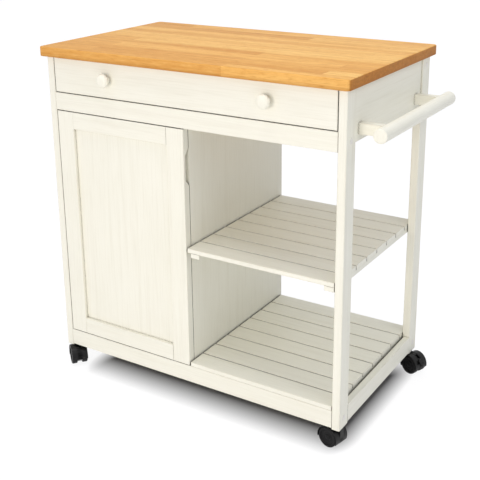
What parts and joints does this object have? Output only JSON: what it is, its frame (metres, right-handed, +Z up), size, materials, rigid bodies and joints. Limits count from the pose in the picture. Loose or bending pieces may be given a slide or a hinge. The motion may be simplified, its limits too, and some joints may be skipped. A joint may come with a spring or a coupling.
{
  "type": "kitchen island",
  "caption": "Kitchen island on casters with a wooden worktop, a wide drawer, a framed cupboard door, open slatted shelves and a side towel bar.",
  "frame": {"origin": "on the floor, under the middle of the whole object's bounding box", "axes": "+Z up, +X to the right along the worktop's length towards the towel bar, +Y to the back, drawer and door face -Y"},
  "size_m": [0.905, 0.5024, 0.867],
  "materials": {
    "oiled_wood": "oiled, light brown, fine grain along the length",
    "painted_wood": "satin cream white paint",
    "drawer_box_wood": "plain pale wood, clear lacquer",
    "white_plastic": "matte white",
    "zinc_steel": "bright zinc plated",
    "coated_slide_steel": "white epoxy coat",
    "roller_plastic": "pale nylon",
    "black_plastic": "black, slightly glossy",
    "wheel_rubber": "black nylon, dull tread"
  },
  "bodies": {
    "frame": {"worktop": "oiled_wood", "post_front_left": "painted_wood", "post_front_right": "painted_wood", "post_back_left": "painted_wood", "post_back_right": "painted_wood", "drawer_rail": "painted_wood", "front_bottom_rail": "painted_wood", "back_bottom_rail": "painted_wood", "back_top_rail": "painted_wood", "right_bottom_rail": "painted_wood", "right_apron": "painted_wood", "left_side_panel": "painted_wood", "divider_panel": "painted_wood", "cabinet_back": "painted_wood", "cabinet_floor": "painted_wood", "inner_shelf": "painted_wood", "shelf_pins": "zinc_steel", "middle_shelf_slats": "painted_wood", "bottom_shelf_slats": "painted_wood", "shelf_battens": "painted_wood", "towel_bar": "painted_wood", "towel_bar_arms": "painted_wood", "frame_screws": "zinc_steel", "screw_caps": "white_plastic", "caster_stems": "zinc_steel", "drawer_channel_left": "coated_slide_steel", "drawer_channel_right": "coated_slide_steel", "channel_screws": "zinc_steel", "door_pivot_pins": "zinc_steel", "magnetic_catch": "white_plastic"},
    "drawer": {"drawer_front": "painted_wood", "drawer_side_left": "drawer_box_wood", "drawer_side_right": "drawer_box_wood", "drawer_back": "drawer_box_wood", "drawer_bottom": "drawer_box_wood", "drawer_knobs": "painted_wood", "knob_screws": "zinc_steel", "drawer_runner_left": "coated_slide_steel", "drawer_runner_right": "coated_slide_steel", "runner_screws": "zinc_steel"},
    "front_rollers": {"front_slide_rollers": "roller_plastic"},
    "rear_rollers": {"rear_slide_rollers": "roller_plastic"},
    "door": {"door_hinge_stile": "painted_wood", "door_free_stile": "painted_wood", "door_top_rail": "painted_wood", "door_bottom_rail": "painted_wood", "door_panel": "painted_wood", "strike_plate": "zinc_steel"},
    "caster_front_left": {"caster_hood_front_left": "black_plastic"},
    "wheels_front_left": {"caster_wheels_front_left": "wheel_rubber"},
    "caster_front_right": {"caster_hood_front_right": "black_plastic"},
    "wheels_front_right": {"caster_wheels_front_right": "wheel_rubber"},
    "caster_back_left": {"caster_hood_back_left": "black_plastic"},
    "wheels_back_left": {"caster_wheels_back_left": "wheel_rubber"},
    "lever_back_left": {"caster_lever_back_left": "black_plastic"},
    "caster_back_right": {"caster_hood_back_right": "black_plastic"},
    "wheels_back_right": {"caster_wheels_back_right": "wheel_rubber"},
    "lever_back_right": {"caster_lever_back_right": "black_plastic"}
  },
  "joints": [
    {"name": "drawer_slide", "type": "slide", "parent": "frame", "child": "drawer", "axis": [0, -1, 0], "range_m": [0, 0.3]},
    {"name": "front_roller_spin", "type": "hinge", "parent": "frame", "child": "front_rollers", "pos_m": [-0.0335, -0.16425, 0.7718], "axis": [1, 0, 0], "range_deg": [0, 1910]},
    {"name": "rear_roller_spin", "type": "hinge", "parent": "drawer", "child": "rear_rollers", "pos_m": [-0.0335, 0.16775, 0.7725], "axis": [1, 0, 0], "range_deg": [0, 1719]},
    {"name": "door_hinge", "type": "hinge", "parent": "frame", "child": "door", "pos_m": [-0.3995, -0.21625, 0.4055], "axis": [0, 0, -1], "range_deg": [0, 110]},
    {"name": "swivel_front_left", "type": "hinge", "parent": "frame", "child": "caster_front_left", "pos_m": [-0.4315, -0.20225, 0.054], "axis": [0, 0, 1], "continuous": true},
    {"name": "wheel_spin_front_left", "type": "hinge", "parent": "caster_front_left", "child": "wheels_front_left", "pos_m": [-0.41574, -0.21456, 0.025], "axis": [0.6157, 0.788, 0], "continuous": true},
    {"name": "swivel_front_right", "type": "hinge", "parent": "frame", "child": "caster_front_right", "pos_m": [0.3645, -0.20225, 0.054], "axis": [0, 0, 1], "continuous": true},
    {"name": "wheel_spin_front_right", "type": "hinge", "parent": "caster_front_right", "child": "wheels_front_right", "pos_m": [0.34494, -0.19809, 0.025], "axis": [-0.2079, -0.9781, 0], "continuous": true},
    {"name": "swivel_back_left", "type": "hinge", "parent": "frame", "child": "caster_back_left", "pos_m": [-0.4315, 0.21275, 0.054], "axis": [0, 0, 1], "continuous": true},
    {"name": "wheel_spin_back_left", "type": "hinge", "parent": "caster_back_left", "child": "wheels_back_left", "pos_m": [-0.41337, 0.2043, 0.025], "axis": [0.4226, 0.9063, 0], "continuous": true},
    {"name": "brake_back_left", "type": "hinge", "parent": "caster_back_left", "child": "lever_back_left", "pos_m": [-0.40221, 0.19909, 0.04076], "axis": [0.4226, 0.9063, 0], "range_deg": [0, 14]},
    {"name": "swivel_back_right", "type": "hinge", "parent": "frame", "child": "caster_back_right", "pos_m": [0.3645, 0.21275, 0.054], "axis": [0, 0, 1], "continuous": true},
    {"name": "wheel_spin_back_right", "type": "hinge", "parent": "caster_back_right", "child": "wheels_back_right", "pos_m": [0.38329, 0.20591, 0.025], "axis": [0.342, 0.9397, 0], "continuous": true},
    {"name": "brake_back_right", "type": "hinge", "parent": "caster_back_right", "child": "lever_back_right", "pos_m": [0.39487, 0.2017, 0.04076], "axis": [0.342, 0.9397, 0], "range_deg": [0, 14]}
  ],
  "couplings": [
    {"joint": "front_roller_spin", "follows": "drawer_slide", "rad_per_m": 111.11},
    {"joint": "rear_roller_spin", "follows": "drawer_slide", "rad_per_m": 100}
  ]
}
